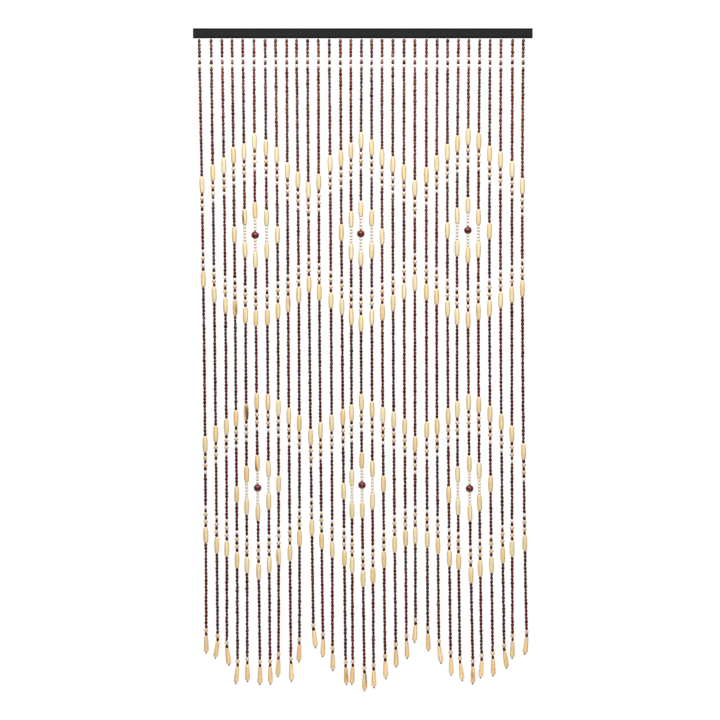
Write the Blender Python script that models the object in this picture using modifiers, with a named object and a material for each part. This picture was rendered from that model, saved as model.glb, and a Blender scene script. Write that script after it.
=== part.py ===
# Bead curtain: thirty-one strings of wooden beads hung from a slim dark head rail.
# Metres, +Z up. The origin is the middle of the rail's top face, the front faces -Y.
import math
from collections import namedtuple

import bmesh
import bpy
from mathutils import Vector

MM = 0.001
CLEARANCE = 0.3 * MM

# Head rail: a slat with softened edges and a stopped groove in its underside
RAIL_LENGTH = 0.900
RAIL_DEPTH = 0.010
RAIL_HEIGHT = 0.0253
RAIL_EDGE_RADIUS = 0.0010
RAIL_EDGE_STEPS = 2
GROOVE_LENGTH = 0.888
GROOVE_WIDTH = 0.0050
GROOVE_DEPTH = 0.0040
CUTTER_OVERRUN = 0.004

# Strings: the first hangs this far left of the middle, the rest follow at an even pitch
FIRST_STRING_X = -0.434
STRING_PITCH = 0.02866
FIRST_BEAD_DEPTH = 0.0279
LEAN_DEPTH = 1.674
STRIP_LAST_STRINGS = (10, 21, 31)
STRIP_NAMES = ("strings_left", "strings_middle", "strings_right")
ROOT_SINK = 0.0010
LONGEST_STRAIGHT = 0.115
SECTION_TURN = math.radians(45)
WELD_DISTANCE = 0.00001

# Beads: length along the string and widest width
THREAD_WIDTH = 0.0020
DARK_WIDTH = 0.0072
DARK_TAPER = 0.0018
WHITE_LENGTH = 0.0085
WHITE_WIDTH = 0.0090
ROUND_LENGTH = 0.0100
ROUND_WIDTH = 0.0114
LONG_LENGTH = 0.0430
LONG_WIDTH = 0.0132
LONG_END_WIDTH = 0.0086
LONG_SHOULDER = 0.20
BALL_DIAMETER = 0.0200
BALL_STATIONS = (0.06, 0.25, 0.50, 0.75, 0.94)
DROP_LENGTH = 0.0430
KNOT_LENGTH = 0.0040
KNOT_WIDTH = 0.0026

# The drop's outline from its tip up: share of its length, width
DROP_OUTLINE = (
    (0.00, 0.0088),
    (0.40, 0.0114),
    (0.80, 0.0130),
    (1.00, 0.0056),
)

# The same pattern on every string, with the diamonds' tips on strings 6, 16 and 26
DIAMOND_REPEAT = 10
DIAMOND_TIP_STRING = 6
TOP_DARK_BEADS = 5
WHITE_RUN = 5
WHITE_RUN_BY_BALL = 4

# One row for each string, left to right. Places and lean in millimetres, beads counted.
# root: how far its top sits off the even pitch. lean, bow: its drift by the bottom, and at
# half height off that line. bead: mean length of its dark beads. first, middle_1, between,
# middle_2, tail: dark beads in each run. above_1, above_2: dark beads over the inner group
# of each row. tilt: degrees that the end drop swings, plus is to the right.
StringRow = namedtuple(
    "StringRow",
    "root lean bow bead first middle_1 between middle_2 tail above_1 above_2 tilt",
)
STRINGS = (
    StringRow(0, 19, 4, 9.4, 31, 10, 42, 9, 24, 0, 0, 0),
    StringRow(3, 18, 1, 9.3, 28, 18, 35, 15, 23, 0, 0, -8),
    StringRow(3, 13, 4, 9.3, 26, 23, 30, 18, 24, 0, 0, 8),
    StringRow(1, 15, 2, 9.3, 23, 22, 27, 19, 26, 12, 11, -6),
    StringRow(1, 12, 2, 9.3, 22, 16, 23, 13, 24, 8, 7, 1),
    StringRow(2, 16, -2, 9.3, 19, 15, 19, 13, 23, 9, 7, -1),
    StringRow(3, 13, 0, 9.6, 20, 17, 19, 15, 24, 9, 8, 1),
    StringRow(2, 8, 3, 9.3, 23, 23, 23, 21, 25, 12, 11, -2),
    StringRow(3, 11, -1, 9.4, 27, 21, 27, 22, 27, 0, 0, 2),
    StringRow(0, 8, 3, 9.3, 30, 16, 32, 16, 26, 0, 0, -2),
    StringRow(1, 17, -3, 9.3, 33, 10, 39, 9, 25, 0, 0, 7),
    StringRow(1, 13, -3, 9.2, 31, 15, 35, 15, 24, 0, 0, -1),
    StringRow(1, 9, 1, 9.4, 25, 22, 30, 19, 25, 0, 0, 1),
    StringRow(2, 14, -2, 9.6, 23, 20, 26, 18, 26, 10, 10, 2),
    StringRow(1, 5, -1, 9.2, 22, 17, 23, 13, 25, 9, 8, -3),
    StringRow(1, 7, -5, 9.2, 19, 17, 18, 15, 23, 9, 6, 0),
    StringRow(-1, 5, -2, 9.6, 20, 17, 21, 16, 22, 9, 6, 1),
    StringRow(-2, 8, -3, 9.2, 24, 23, 25, 20, 25, 12, 9, 2),
    StringRow(-2, 8, -3, 9.2, 26, 23, 29, 19, 26, 0, 0, 1),
    StringRow(-1, 7, -3, 9.3, 28, 17, 34, 15, 25, 0, 0, 2),
    StringRow(-1, 2, -1, 9.4, 32, 10, 41, 9, 21, 0, 0, -4),
    StringRow(1, 4, -2, 9.5, 28, 16, 34, 14, 22, 0, 0, 2),
    StringRow(1, 5, -4, 9.4, 25, 21, 32, 17, 24, 0, 0, 7),
    StringRow(0, 8, -4, 9.7, 21, 22, 25, 18, 23, 11, 11, 2),
    StringRow(0, 4, -6, 9.2, 20, 19, 22, 13, 25, 10, 8, 7),
    StringRow(-1, 10, -7, 9.2, 18, 17, 19, 14, 22, 9, 7, -1),
    StringRow(-1, 5, -6, 9.3, 19, 18, 22, 16, 22, 11, 8, -4),
    StringRow(-2, 7, -5, 9.5, 22, 22, 25, 21, 22, 11, 9, 1),
    StringRow(-2, 9, -5, 9.7, 23, 22, 29, 20, 22, 0, 0, 8),
    StringRow(0, 0, -2, 9.3, 27, 19, 35, 16, 22, 0, 0, -1),
    StringRow(0, 10, -7, 9.5, 31, 12, 41, 9, 22, 0, 0, -7),
)


# Materials

def make_material(name, colour, roughness):
    """A plain Principled material of one colour."""
    material = bpy.data.materials.new(name)
    material.use_nodes = True
    shader = material.node_tree.nodes["Principled BSDF"]
    shader.inputs["Base Color"].default_value = (*colour, 1.0)
    shader.inputs["Roughness"].default_value = roughness
    shader.inputs["Metallic"].default_value = 0.0
    material.diffuse_color = (*colour, 1.0)
    return material


# The pattern, as the beads threaded on one string

def tip_distance(number):
    """Count the strings between this one and the nearest that carries a diamond's tip."""
    half = DIAMOND_REPEAT // 2
    return abs((number - DIAMOND_TIP_STRING + half) % DIAMOND_REPEAT - half)


def inner_group(distance):
    """The beads at the heart of a diamond: none on the outer strings, a ball at its tip."""
    if distance > 2:
        return []
    if distance == 2:
        return ["long"]
    if distance == 1:
        return ["long"] + ["white"] * WHITE_RUN + ["long"]
    side = ["long"] + ["white"] * WHITE_RUN_BY_BALL
    return side + ["ball"] + side[::-1]


def diamond_row(distance, middle, above):
    """One row of diamonds on one string, from its upper long bead to its lower one."""
    trim = ["dark", "round", "dark", "round", "dark", "white"]
    heart = ["dark"] * above + inner_group(distance) + ["dark"] * (middle - above)
    return ["long"] + trim + heart + trim[::-1] + ["long"]


def beads_on_string(number):
    """Every bead of one string from the rail to the end drop, as a list of kinds."""
    row = STRINGS[number - 1]
    distance = tip_distance(number)
    beads = ["dark"] * TOP_DARK_BEADS + ["white", "dark", "white"]
    beads += ["dark"] * row.first
    beads += diamond_row(distance, row.middle_1, row.above_1)
    beads += ["dark"] * row.between
    beads += diamond_row(distance, row.middle_2, row.above_2)
    beads += ["dark"] * row.tail
    return beads + ["round", "dark"]


def bead_length(kind, row):
    """The length of string that one bead takes up."""
    lengths = {
        "dark": row.bead * MM,
        "white": WHITE_LENGTH,
        "round": ROUND_LENGTH,
        "long": LONG_LENGTH,
        "ball": BALL_DIAMETER,
    }
    return lengths[kind]


# The strands: four-sided, as wide as their beads, hanging as unevenly as the real strings

def bead_stations(kind, before, after):
    """Where a strand changes width on one bead, as pairs of share of length and width.

    Dark beads keep the strand's even width, so one needs a station only beside a round
    bead. A lone white bead is hardly wider and gets none, but a run of them does."""
    if kind == "long":
        ends = (0.0, LONG_END_WIDTH), (1.0, LONG_END_WIDTH)
        shoulders = (LONG_SHOULDER, LONG_WIDTH), (1 - LONG_SHOULDER, LONG_WIDTH)
        return (ends[0], *shoulders, ends[1])
    if kind == "round":
        return ((0.5, ROUND_WIDTH),)
    if kind == "ball":
        return tuple((s, 2 * BALL_DIAMETER * math.sqrt(s * (1 - s))) for s in BALL_STATIONS)
    if kind == "white" and (before, after) in (("long", "white"), ("white", "long")):
        return ((0.5, WHITE_WIDTH),)
    if kind == "white" and "ball" in (before, after):
        return ((0.5, WHITE_WIDTH),)
    if kind == "dark" and "round" in (before, after) and "long" not in (before, after):
        return ((0.5, DARK_WIDTH),)
    return ()


def strand_outline(number):
    """The strand's stations down to its end drop, as (depth below the rail's top, width)."""
    row = STRINGS[number - 1]
    beads = beads_on_string(number)
    outline = [
        (RAIL_HEIGHT - ROOT_SINK, THREAD_WIDTH),
        (FIRST_BEAD_DEPTH, THREAD_WIDTH),
        (FIRST_BEAD_DEPTH + DARK_TAPER, DARK_WIDTH),
    ]
    depth = FIRST_BEAD_DEPTH
    for before, kind, after in zip([None] + beads, beads, beads[1:] + ["drop"]):
        length = bead_length(kind, row)
        for share, width in bead_stations(kind, before, after):
            outline.append((depth + share * length, width))
        depth += length
    return outline, depth


def fill_long_stretches(outline):
    """Add stations, evenly, wherever the next is too far off for the strand's bow to show."""
    filled = [outline[0]]
    for (depth, width), (next_depth, next_width) in zip(outline, outline[1:]):
        pieces = math.ceil((next_depth - depth) / LONGEST_STRAIGHT)
        for piece in range(1, pieces + 1):
            share = piece / pieces
            filled.append((depth + share * (next_depth - depth),
                           width + share * (next_width - width)))
    return filled


def string_x(number, depth):
    """How far right the string hangs at a depth: its root, its lean and its bow."""
    row = STRINGS[number - 1]
    share = max(depth - RAIL_HEIGHT, 0.0) / (LEAN_DEPTH - RAIL_HEIGHT)
    drift = row.lean * share + 4 * row.bow * share * (1 - share)
    return FIRST_STRING_X + (number - 1) * STRING_PITCH + (row.root + drift) * MM


def strand_points(number):
    """The strand's middle line and widths, with the end drop and its knot swung sideways."""
    outline, drop_depth = strand_outline(number)
    points = [(Vector((string_x(number, depth), 0.0, -depth)), width)
              for depth, width in fill_long_stretches(outline)]
    top = Vector((string_x(number, drop_depth), 0.0, -drop_depth))
    swing = math.radians(STRINGS[number - 1].tilt)
    along = Vector((math.sin(swing), 0.0, -math.cos(swing)))
    stations = [(share * DROP_LENGTH, width) for share, width in DROP_OUTLINE]
    stations.append((DROP_LENGTH + KNOT_WIDTH / 2, KNOT_WIDTH))
    stations.append((DROP_LENGTH + KNOT_LENGTH, KNOT_WIDTH))
    points += [(top + along * run, width) for run, width in stations]
    return points


def make_strands(name, numbers, collection):
    """Square-section strands as one curve object, made a mesh with its caps welded on."""
    curve = bpy.data.curves.new(name, "CURVE")
    curve.dimensions = "3D"
    curve.bevel_depth = 1.0
    curve.bevel_resolution = 0
    curve.use_fill_caps = True
    for number in numbers:
        points = strand_points(number)
        spline = curve.splines.new("POLY")
        spline.points.add(len(points) - 1)
        for point, (place, width) in zip(spline.points, points):
            point.co = (*place, 1.0)
            point.radius = width / math.sqrt(2)
            point.tilt = SECTION_TURN
    strands = bpy.data.objects.new(name, curve)
    collection.objects.link(strands)
    bpy.context.view_layer.update()
    depsgraph = bpy.context.evaluated_depsgraph_get()
    mesh = bpy.data.meshes.new_from_object(strands.evaluated_get(depsgraph))
    bpy.data.objects.remove(strands)
    builder = bmesh.new()
    builder.from_mesh(mesh)
    bmesh.ops.remove_doubles(builder, verts=builder.verts, dist=WELD_DISTANCE)
    bmesh.ops.recalc_face_normals(builder, faces=builder.faces)
    builder.to_mesh(mesh)
    builder.free()
    solid = bpy.data.objects.new(name, mesh)
    collection.objects.link(solid)
    return solid


# Boxes and cuts

def make_box(name, low, high, collection):
    """A box between two corners."""
    size = Vector(high) - Vector(low)
    middle = (Vector(high) + Vector(low)) / 2
    mesh = bpy.data.meshes.new(name)
    builder = bmesh.new()
    bmesh.ops.create_cube(builder, size=1.0)
    bmesh.ops.scale(builder, vec=size, verts=builder.verts)
    bmesh.ops.translate(builder, vec=middle, verts=builder.verts)
    builder.to_mesh(mesh)
    builder.free()
    box = bpy.data.objects.new(name, mesh)
    collection.objects.link(box)
    return box


def hide_cutter(cutter):
    """Keep a cutter or guide out of renders and out of the parts."""
    cutter.hide_render = True
    cutter.display_type = "WIRE"


def combine(target, cutter, operation):
    """Cut or join the target with the cutter through a Boolean modifier."""
    boolean = target.modifiers.new(operation.title(), "BOOLEAN")
    boolean.operation = operation
    boolean.object = cutter
    boolean.solver = "EXACT"
    hide_cutter(cutter)


def make_rail(parts, cutters):
    """The head rail, its edges softened before the groove is cut up into its underside."""
    rail = make_box(
        "head_rail",
        (-RAIL_LENGTH / 2, -RAIL_DEPTH / 2, -RAIL_HEIGHT),
        (RAIL_LENGTH / 2, RAIL_DEPTH / 2, 0.0),
        parts,
    )
    bevel = rail.modifiers.new("Soft edges", "BEVEL")
    bevel.width = RAIL_EDGE_RADIUS
    bevel.segments = RAIL_EDGE_STEPS
    groove = make_box(
        "groove",
        (-GROOVE_LENGTH / 2, -GROOVE_WIDTH / 2, -RAIL_HEIGHT - CUTTER_OVERRUN),
        (GROOVE_LENGTH / 2, GROOVE_WIDTH / 2, -RAIL_HEIGHT + GROOVE_DEPTH),
        cutters,
    )
    combine(rail, groove, "DIFFERENCE")
    return rail


def strip_ends():
    """Where each length of strip starts and stops along the groove."""
    breaks = [-GROOVE_LENGTH / 2]
    for last in STRIP_LAST_STRINGS[:-1]:
        breaks.append((string_x(last, 0.0) + string_x(last + 1, 0.0)) / 2)
    breaks.append(GROOVE_LENGTH / 2)
    return list(zip(breaks, breaks[1:]))


def make_string_set(name, ends, numbers, parts, cutters):
    """One length of backing strip in the groove, with its strands fused to its underside."""
    start, stop = ends
    strip = make_box(
        name,
        (start + CLEARANCE, -GROOVE_WIDTH / 2 + CLEARANCE, -RAIL_HEIGHT),
        (stop - CLEARANCE, GROOVE_WIDTH / 2 - CLEARANCE, -RAIL_HEIGHT + GROOVE_DEPTH - CLEARANCE),
        parts,
    )
    strands = make_strands(name + "_strands", numbers, cutters)
    combine(strip, strands, "UNION")
    return strip


def main():
    """Clear the scene, then build the rail and its three sets of strings."""
    for old in list(bpy.data.objects):
        bpy.data.objects.remove(old, do_unlink=True)
    parts = bpy.data.collections.new("bead_curtain")
    cutters = bpy.data.collections.new("cutters")
    bpy.context.scene.collection.children.link(parts)
    bpy.context.scene.collection.children.link(cutters)
    rail = make_rail(parts, cutters)
    rail.data.materials.append(make_material("black_wood", (0.028, 0.028, 0.030), 0.55))
    brown = make_material("brown_wood_beads", (0.110, 0.028, 0.018), 0.30)
    first = 1
    for name, last, ends in zip(STRIP_NAMES, STRIP_LAST_STRINGS, strip_ends()):
        numbers = range(first, last + 1)
        string_set = make_string_set(name, ends, numbers, parts, cutters)
        string_set.data.materials.append(brown)
        first = last + 1


main()
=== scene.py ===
# %% [markdown]
# # A bead curtain on its head rail
#
# This lesson dresses a imported CAD model of a bead curtain, the kind that hangs in a doorway
# in place of a door. The CAD model has the true sizes, but its strands are four-sided bars.
# Here each strand gets its thread and its own turned, dyed and lacquered wooden beads, and
# the rail gets its charcoal stain.
#
# The frame is loaded before anything else. It holds the CAD pieces where they belong, in
# metres: the origin is the middle of the rail's top face, the front faces -Y, and the
# strings run down along -Z. Nothing in the frame is moved. Its box is kept for the end,
# where it is printed beside the box of the dressed curtain.

# %% Load the fixed frame
import math
from collections import namedtuple

import bpy
import numpy as np
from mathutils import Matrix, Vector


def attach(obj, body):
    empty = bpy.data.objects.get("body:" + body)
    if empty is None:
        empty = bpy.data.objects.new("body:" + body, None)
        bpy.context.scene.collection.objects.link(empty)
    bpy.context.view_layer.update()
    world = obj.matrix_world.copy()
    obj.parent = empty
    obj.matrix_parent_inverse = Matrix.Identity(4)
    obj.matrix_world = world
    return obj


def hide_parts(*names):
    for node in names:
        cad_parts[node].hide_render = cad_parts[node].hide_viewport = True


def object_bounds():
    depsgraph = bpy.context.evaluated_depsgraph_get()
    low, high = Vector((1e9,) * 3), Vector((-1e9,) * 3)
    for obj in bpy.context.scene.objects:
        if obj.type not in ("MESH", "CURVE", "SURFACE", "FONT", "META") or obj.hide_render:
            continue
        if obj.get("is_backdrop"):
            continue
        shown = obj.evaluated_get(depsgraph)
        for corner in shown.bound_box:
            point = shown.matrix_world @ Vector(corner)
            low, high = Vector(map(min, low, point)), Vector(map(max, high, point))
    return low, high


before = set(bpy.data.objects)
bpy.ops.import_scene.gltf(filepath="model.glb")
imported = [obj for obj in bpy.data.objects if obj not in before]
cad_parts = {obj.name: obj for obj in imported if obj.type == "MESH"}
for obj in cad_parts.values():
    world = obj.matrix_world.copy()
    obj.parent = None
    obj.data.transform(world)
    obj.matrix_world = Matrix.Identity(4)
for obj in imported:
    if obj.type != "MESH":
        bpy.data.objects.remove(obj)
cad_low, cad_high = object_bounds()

MM = 0.001
SEED = 31
dice = np.random.default_rng(SEED)
print("CAD nodes:", ", ".join(sorted(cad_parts)))
print("CAD box in mm:", [round(side / MM, 1) for side in cad_high - cad_low])

# %% [markdown]
# ## The pattern, as a maker strings it
#
# A maker works from a chart: so many dark beads, then a long bead, then a trim of small
# ones. Thirty-one strings with slightly different counts make two rows of three diamonds.
# The chart could be one long list of beads, but the strings share almost everything. So a
# table keeps only what differs from string to string, and a few short functions write out
# the beads. Each string also has its own lean and bow, because no real one hangs plumb.
#
# The table's numbers weren't charted by hand. Programs followed each string down the photo,
# found where its beads lie, and fitted whole counts, a mean length of dark bead, a lean, a
# bow and a tilt to it. Their rounded results stand here. A chart with one row for each
# distance from a diamond's tip would be a better design than this one.

# %% The chart of the strings
StringRow = namedtuple(
    "StringRow",
    "root lean bow bead first middle_1 between middle_2 tail above_1 above_2 tilt",
)
# root: how far its top sits off the even pitch. lean, bow: its drift by the bottom, and at
# half height off that line. bead: mean length of its dark beads, all in millimetres. first
# to tail: dark beads in each run. above_1, above_2: dark beads over the inner group of each
# row. tilt: degrees that the end drop swings, plus is to the right.
STRINGS = (
    StringRow(0, 19, 4, 9.4, 31, 10, 42, 9, 24, 0, 0, 0),
    StringRow(3, 18, 1, 9.3, 28, 18, 35, 15, 23, 0, 0, -8),
    StringRow(3, 13, 4, 9.3, 26, 23, 30, 18, 24, 0, 0, 8),
    StringRow(1, 15, 2, 9.3, 23, 22, 27, 19, 26, 12, 11, -6),
    StringRow(1, 12, 2, 9.3, 22, 16, 23, 13, 24, 8, 7, 1),
    StringRow(2, 16, -2, 9.3, 19, 15, 19, 13, 23, 9, 7, -1),
    StringRow(3, 13, 0, 9.6, 20, 17, 19, 15, 24, 9, 8, 1),
    StringRow(2, 8, 3, 9.3, 23, 23, 23, 21, 25, 12, 11, -2),
    StringRow(3, 11, -1, 9.4, 27, 21, 27, 22, 27, 0, 0, 2),
    StringRow(0, 8, 3, 9.3, 30, 16, 32, 16, 26, 0, 0, -2),
    StringRow(1, 17, -3, 9.3, 33, 10, 39, 9, 25, 0, 0, 7),
    StringRow(1, 13, -3, 9.2, 31, 15, 35, 15, 24, 0, 0, -1),
    StringRow(1, 9, 1, 9.4, 25, 22, 30, 19, 25, 0, 0, 1),
    StringRow(2, 14, -2, 9.6, 23, 20, 26, 18, 26, 10, 10, 2),
    StringRow(1, 5, -1, 9.2, 22, 17, 23, 13, 25, 9, 8, -3),
    StringRow(1, 7, -5, 9.2, 19, 17, 18, 15, 23, 9, 6, 0),
    StringRow(-1, 5, -2, 9.6, 20, 17, 21, 16, 22, 9, 6, 1),
    StringRow(-2, 8, -3, 9.2, 24, 23, 25, 20, 25, 12, 9, 2),
    StringRow(-2, 8, -3, 9.2, 26, 23, 29, 19, 26, 0, 0, 1),
    StringRow(-1, 7, -3, 9.3, 28, 17, 34, 15, 25, 0, 0, 2),
    StringRow(-1, 2, -1, 9.4, 32, 10, 41, 9, 21, 0, 0, -4),
    StringRow(1, 4, -2, 9.5, 28, 16, 34, 14, 22, 0, 0, 2),
    StringRow(1, 5, -4, 9.4, 25, 21, 32, 17, 24, 0, 0, 7),
    StringRow(0, 8, -4, 9.7, 21, 22, 25, 18, 23, 11, 11, 2),
    StringRow(0, 4, -6, 9.2, 20, 19, 22, 13, 25, 10, 8, 7),
    StringRow(-1, 10, -7, 9.2, 18, 17, 19, 14, 22, 9, 7, -1),
    StringRow(-1, 5, -6, 9.3, 19, 18, 22, 16, 22, 11, 8, -4),
    StringRow(-2, 7, -5, 9.5, 22, 22, 25, 21, 22, 11, 9, 1),
    StringRow(-2, 9, -5, 9.7, 23, 22, 29, 20, 22, 0, 0, 8),
    StringRow(0, 0, -2, 9.3, 27, 19, 35, 16, 22, 0, 0, -1),
    StringRow(0, 10, -7, 9.5, 31, 12, 41, 9, 22, 0, 0, -7),
)
DIAMOND_REPEAT = 10
DIAMOND_TIP_STRING = 6
TOP_DARK_BEADS = 5
CREAM_RUN = 5
CREAM_RUN_BY_BALL = 4
print(len(STRINGS), "strings in the chart")

# %% Write out the beads of one string


def tip_distance(number):
    """Count the strings between this one and the nearest that carries a diamond's tip."""
    half = DIAMOND_REPEAT // 2
    return abs((number - DIAMOND_TIP_STRING + half) % DIAMOND_REPEAT - half)


def inner_group(distance):
    """The beads at the heart of a diamond: none on the outer strings, a ball at its tip."""
    if distance > 2:
        return []
    if distance == 2:
        return ["long"]
    if distance == 1:
        return ["long"] + ["cream"] * CREAM_RUN + ["long"]
    side = ["long"] + ["cream"] * CREAM_RUN_BY_BALL
    return side + ["ball"] + side[::-1]


def diamond_row(distance, middle, above):
    """One row of diamonds on one string, from its upper long bead to its lower one."""
    trim = ["dark", "golden", "dark", "golden", "dark", "cream"]
    heart = ["dark"] * above + inner_group(distance) + ["dark"] * (middle - above)
    return ["long"] + trim + heart + trim[::-1] + ["long"]


def beads_on_string(number):
    """Every bead of one string from the rail down to its end drop, as a list of kinds."""
    row = STRINGS[number - 1]
    distance = tip_distance(number)
    beads = ["dark"] * TOP_DARK_BEADS + ["cream", "dark", "cream"]
    beads += ["dark"] * row.first
    beads += diamond_row(distance, row.middle_1, row.above_1)
    beads += ["dark"] * row.between
    beads += diamond_row(distance, row.middle_2, row.above_2)
    beads += ["dark"] * row.tail
    return beads + ["golden", "dark", "drop"]


print("string 6 starts:", ", ".join(beads_on_string(6)[:9]))

# %% [markdown]
# ## Where every bead hangs
#
# On the real curtain, gravity and the thread place the beads: each one rests on the next.
# So their places are worked out as the beads pile up, by adding up lengths from the rail
# down. Small dark beads are cut and tumbled by the thousand and no two are equally long.
# Each gets its own length, and every run is then stretched or squeezed back to the length
# that the chart gives it, so that the diamonds stay where they belong.

# %% Sizes of rail, strings and beads
RAIL_HEIGHT = 0.0253
GROOVE_LENGTH = 0.888
GROOVE_WIDTH = 0.0050
GROOVE_DEPTH = 0.0040
CLEARANCE = 0.0003
FIRST_STRING_X = -0.434
STRING_PITCH = 0.02866
FIRST_BEAD_DEPTH = 0.0279
LEAN_DEPTH = 1.674
STRIP_LAST_STRINGS = (10, 21, 31)
CAD_STRINGS = ("strings_left", "strings_middle", "strings_right")
DARK_LENGTH_SPREAD = 0.12
TOP_BEAD_SLACK = 0.0005

BeadSize = namedtuple("BeadSize", "length width length_spread width_spread")
SIZES = {
    "dark": BeadSize(0.0093, 0.0081, 0.00, 0.11),
    "cream": BeadSize(0.0085, 0.0086, 0.01, 0.03),
    "golden": BeadSize(0.0100, 0.0114, 0.01, 0.03),
    "long": BeadSize(0.0430, 0.0132, 0.01, 0.03),
    "ball": BeadSize(0.0200, 0.0204, 0.00, 0.00),
    "drop": BeadSize(0.0430, 0.0130, 0.01, 0.03),
}


def string_x(number, depth):
    """How far right the string hangs at a depth: its root, its lean and its bow."""
    row = STRINGS[number - 1]
    share = np.maximum(depth - RAIL_HEIGHT, 0.0) / (LEAN_DEPTH - RAIL_HEIGHT)
    drift = row.lean * share + 4 * row.bow * share * (1 - share)
    return FIRST_STRING_X + (number - 1) * STRING_PITCH + (row.root + drift) * MM


def lengths_on_string(number, kinds):
    """The length of every bead. Dark ones vary, and each run keeps its charted length.

    The dark beads by the rail hang a little apart, and the run below makes up for it."""
    row = STRINGS[number - 1]
    lengths = np.array([SIZES[kind].length for kind in kinds])
    dark = kinds == "dark"
    lengths[dark] = row.bead * MM
    top_count = TOP_DARK_BEADS + 1
    upper = np.flatnonzero(dark)[:top_count + row.first]
    by_rail, first_run = upper[:top_count], upper[top_count:]
    lengths[by_rail] += TOP_BEAD_SLACK
    lengths[first_run] -= TOP_BEAD_SLACK * len(by_rail) / row.first
    charted = lengths.copy()
    lengths[dark] *= 1 + DARK_LENGTH_SPREAD * dice.uniform(-1, 1, dark.sum())
    run = np.cumsum(np.append(True, kinds[1:] != kinds[:-1])) - 1
    scale = np.bincount(run, charted) / np.bincount(run, lengths)
    return lengths * scale[run]


# %% Hang the beads on their strings
kinds, numbers, depths, lengths, orders = [], [], [], [], []
for number in range(1, len(STRINGS) + 1):
    string_kinds = np.array(beads_on_string(number))
    string_lengths = lengths_on_string(number, string_kinds)
    ends = FIRST_BEAD_DEPTH + np.cumsum(string_lengths)
    kinds.append(string_kinds)
    numbers.append(np.full(len(string_kinds), number))
    depths.append(ends - string_lengths / 2)
    lengths.append(string_lengths)
    orders.append(np.arange(len(string_kinds)))
kinds, numbers, depths, lengths, orders = map(
    np.concatenate, (kinds, numbers, depths, lengths, orders)
)
for kind in SIZES:
    print(f"{(kinds == kind).sum():5d} {kind} beads")
string_bottoms = (depths + lengths / 2)[kinds == "drop"] - RAIL_HEIGHT
print(f"strings {string_bottoms.min() / MM:.0f} to {string_bottoms.max() / MM:.0f} mm long")

# %% [markdown]
# ## One way to make every solid
#
# Beads, threads, knots and strips are all closed skins: rows of points, each row a ring,
# with the rings joined one to the next and each end closed at a pole. Blender's own
# primitives would need thousands of objects to be copied and joined. Instead, numpy works
# out the points of every copy at once, and one function turns the rows into one mesh.

# %% Turn rows of points into a mesh


def add_trait(mesh, name, values):
    """Keep a number or a vector for each vertex, under a name that materials can read."""
    vector = values.ndim > 1
    trait = mesh.attributes.new(name, "FLOAT_VECTOR" if vector else "FLOAT", "POINT")
    trait.data.foreach_set("vector" if vector else "value", values.astype(np.float32).ravel())


def face_corners(copies, rows, sides, looped):
    """The corners of every quad and triangle, as two arrays of vertex numbers.

    Quads run from each row to the next and once round the ring. Unless the rows loop, each
    end of a copy is a fan of triangles round its pole. The poles' vertices come last."""
    if looped:
        ring = np.arange(copies * rows * sides).reshape(copies, rows, sides)
        low, high = ring, np.roll(ring, -1, axis=1)
    else:
        ring = np.arange(copies * (rows - 2) * sides).reshape(copies, rows - 2, sides)
        low, high = ring[:, :-1], ring[:, 1:]
    turn = (np.roll(low, -1, axis=2), np.roll(high, -1, axis=2))
    quads = np.stack([low, turn[0], turn[1], high], axis=-1).reshape(-1, 4)
    if looped:
        return quads, np.empty((0, 3), int)
    poles = ring.size + np.arange(copies * 2).reshape(copies, 2, 1) + np.zeros(sides, int)
    first, last = ring[:, 0], ring[:, -1]
    bottom = np.stack([poles[:, 0], np.roll(first, -1, axis=1), first], axis=-1)
    top = np.stack([poles[:, 1], last, np.roll(last, -1, axis=1)], axis=-1)
    return quads, np.concatenate([bottom, top]).reshape(-1, 3)


def skin(name, grid, looped=False, **traits):
    """Make one piece out of many closed skins.

    The grid's axes are copy, row, place round the row, and x y z. In the first and the last
    row all the points fall together, and are kept as one vertex, the pole. A trait has a
    value for each point, or one that spreads over the grid's axes."""
    copies, rows, sides = grid.shape[:3]
    quads, fans = face_corners(copies, rows, sides, looped)

    def in_order(values):
        """The values at the rings, then at the poles, as one long list."""
        width = values.shape[3:]
        if looped:
            return values.reshape(-1, *width)
        poles = values[:, [0, -1], 0]
        return np.concatenate([values[:, 1:-1].reshape(-1, *width), poles.reshape(-1, *width)])

    points = in_order(grid)
    mesh = bpy.data.meshes.new(name)
    mesh.vertices.add(len(points))
    mesh.vertices.foreach_set("co", points.astype(np.float32).ravel())
    mesh.loops.add(quads.size + fans.size)
    mesh.loops.foreach_set("vertex_index", np.append(quads.ravel(), fans.ravel()).astype(np.int32))
    mesh.polygons.add(len(quads) + len(fans))
    starts = np.append(np.arange(len(quads)) * 4, quads.size + np.arange(len(fans)) * 3)
    mesh.polygons.foreach_set("loop_start", starts.astype(np.int32))
    mesh.update(calc_edges=True)
    mesh.shade_smooth()
    for trait, values in traits.items():
        full = np.broadcast_to(values, grid.shape[:3] + values.shape[3:])
        add_trait(mesh, trait, in_order(full))
    piece = bpy.data.objects.new(name, mesh)
    bpy.context.scene.collection.objects.link(piece)
    print(f"{name}: {copies} copies, {len(quads) * 2 + len(fans)} triangles")
    return piece


# %% [markdown]
# ## Outlines of the turned beads
#
# A bead maker turns a rod on a small lathe and drills it, so half of the outline says
# everything about a bead. A modelled curve and the Spin tool would do for one of them. Here
# the outlines are formulas: a ball is a sine against a cosine, and a lower power of the same
# sine gives the fuller, barrel-like form of tumbled wood. The pole of each end is set inside
# the bead, which leaves the dimple of the threading hole.

# %% Outline formulas
HOLE_SHARE = 0.20
HOLE_RIM = 0.985
LONG_HOLE_DEPTH = 0.12
DROP_HOLE_DEPTH = 0.10
SHOULDER_POWER = 2.6
SHOULDER_REACH = 0.95


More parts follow.
